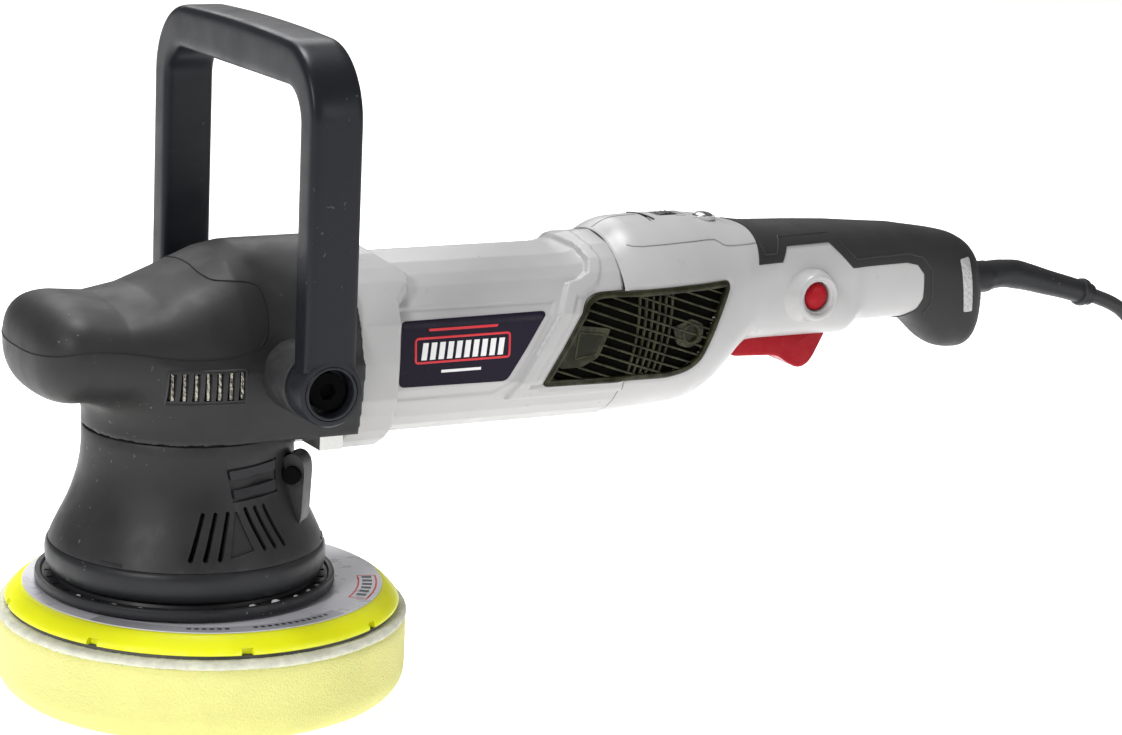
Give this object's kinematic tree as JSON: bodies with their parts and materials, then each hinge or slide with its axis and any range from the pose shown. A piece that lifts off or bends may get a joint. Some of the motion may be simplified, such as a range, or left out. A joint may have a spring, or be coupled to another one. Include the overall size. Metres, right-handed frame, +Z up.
{
  "type": "dual action polisher",
  "caption": "Corded dual action polisher with a foam pad on an eccentric spindle, a palm grip, a tilting D-handle, a motor housing and a rear trigger handle.",
  "frame": {"origin": "where the spindle axis meets the working face of the foam pad", "axes": "+X from the head to the rear handle, -Y to the machine's left side, +Z up along the spindle axis"},
  "size_m": [0.725, 0.1626, 0.2565],
  "materials": {
    "foam": "open-cell foam, pale yellow",
    "fleece": "white loop fleece",
    "hook": "hook tape",
    "plate": "satin yellow-green polyurethane",
    "label_disc": "printed film",
    "steel": "machined",
    "weight": "as cast",
    "laminations": "stacked sheet steel",
    "copper": "enamelled copper",
    "fan": "moulded nylon",
    "casting": "die-cast, bare",
    "cover": "fine-textured black nylon",
    "soft_grip": "soft-touch rubber",
    "rubber": "moulded rubber",
    "bail_plastic": "satin black nylon",
    "housing": "satin silver-grey plastic",
    "grille": "dark olive-black plastic",
    "side_label": "printed film",
    "reflector": "prismatic film",
    "red": "red plastic",
    "switch": "moulded plastic",
    "board": "circuit board",
    "carbon": "pressed carbon",
    "cord_rubber": "rubber-sheathed lead"
  },
  "bodies": {
    "base": {"gearbox_housing": "casting", "spindle_bearing_lower": "steel", "spindle_bearing_upper": "steel", "armature_bearing_front": "steel", "armature_bearing_rear": "steel", "bearing_bracket": "casting", "gear_cover": "cover", "grip_shell": "soft_grip", "shroud": "cover", "shroud_ring": "rubber", "brake_skirt": "rubber", "clamp_screw": "steel", "handle_bolt_left": "steel", "handle_bolt_right": "steel", "motor_housing": "housing", "stator": "laminations", "air_baffle": "fan", "brush_holder_left": "copper", "brush_holder_right": "copper", "carbon_brush_left": "carbon", "carbon_brush_right": "carbon", "side_label_left": "side_label", "side_label_right": "side_label", "vent_grille_left": "grille", "vent_grille_right": "grille", "grille_screw_left": "steel", "grille_screw_right": "steel", "handle_left": "housing", "handle_right": "housing", "overmold": "soft_grip", "reflector_left": "reflector", "reflector_right": "reflector", "switch_body": "switch", "control_board": "board", "cable_boot": "rubber", "cord": "cord_rubber", "cord_coil": "cord_rubber", "cord_tail": "cord_rubber", "mains_plug": "cord_rubber", "plug_pins": "steel"},
    "spindle": {"eccentric_shaft": "steel", "counterweight": "weight", "crown_gear": "steel"},
    "pad": {"foam_pad": "foam", "pad_fleece": "fleece", "hook_layer": "hook", "backing_plate": "plate", "plate_label": "label_disc", "pad_hub": "steel", "pad_bearing": "steel"},
    "armature": {"pinion": "steel", "armature_shaft": "steel", "armature_core": "laminations", "armature_windings": "copper", "commutator": "copper", "cooling_fan": "fan"},
    "bail": {"d_handle": "bail_plastic"},
    "trigger": {"trigger": "red"},
    "lock_button": {"lock_button": "red"},
    "speed_dial": {"speed_dial": "switch"}
  },
  "joints": [
    {"name": "spindle_spin", "type": "hinge", "parent": "base", "child": "spindle", "pos_m": [0, 0, 0.09], "axis": [0, 0, 1], "continuous": true},
    {"name": "pad_spin", "type": "hinge", "parent": "spindle", "child": "pad", "pos_m": [0.0075, 0, 0.05], "axis": [0, 0, 1], "continuous": true},
    {"name": "armature_spin", "type": "hinge", "parent": "base", "child": "armature", "pos_m": [0.1, 0, 0.13], "axis": [1, 0, 0], "continuous": true},
    {"name": "bail_tilt", "type": "hinge", "parent": "base", "child": "bail", "pos_m": [0.024, 0, 0.13], "axis": [0, 1, 0], "range_deg": [-45, 45]},
    {"name": "trigger_squeeze", "type": "hinge", "parent": "base", "child": "trigger", "pos_m": [0.236, 0, 0.122], "axis": [0, -1, 0], "range_deg": [0, 7], "stiffness_Nm_per_rad": 1.2, "springref_deg": -2.86},
    {"name": "lock_press", "type": "slide", "parent": "base", "child": "lock_button", "axis": [0, 1, 0], "range_m": [0, 0.003], "stiffness_N_per_m": 400},
    {"name": "dial_turn", "type": "hinge", "parent": "base", "child": "speed_dial", "pos_m": [0.205, 0, 0.164], "axis": [0, 1, 0], "range_deg": [0, 270]}
  ],
  "couplings": [
    {"joint": "armature_spin", "follows": "spindle_spin", "ratio": 4}
  ]
}
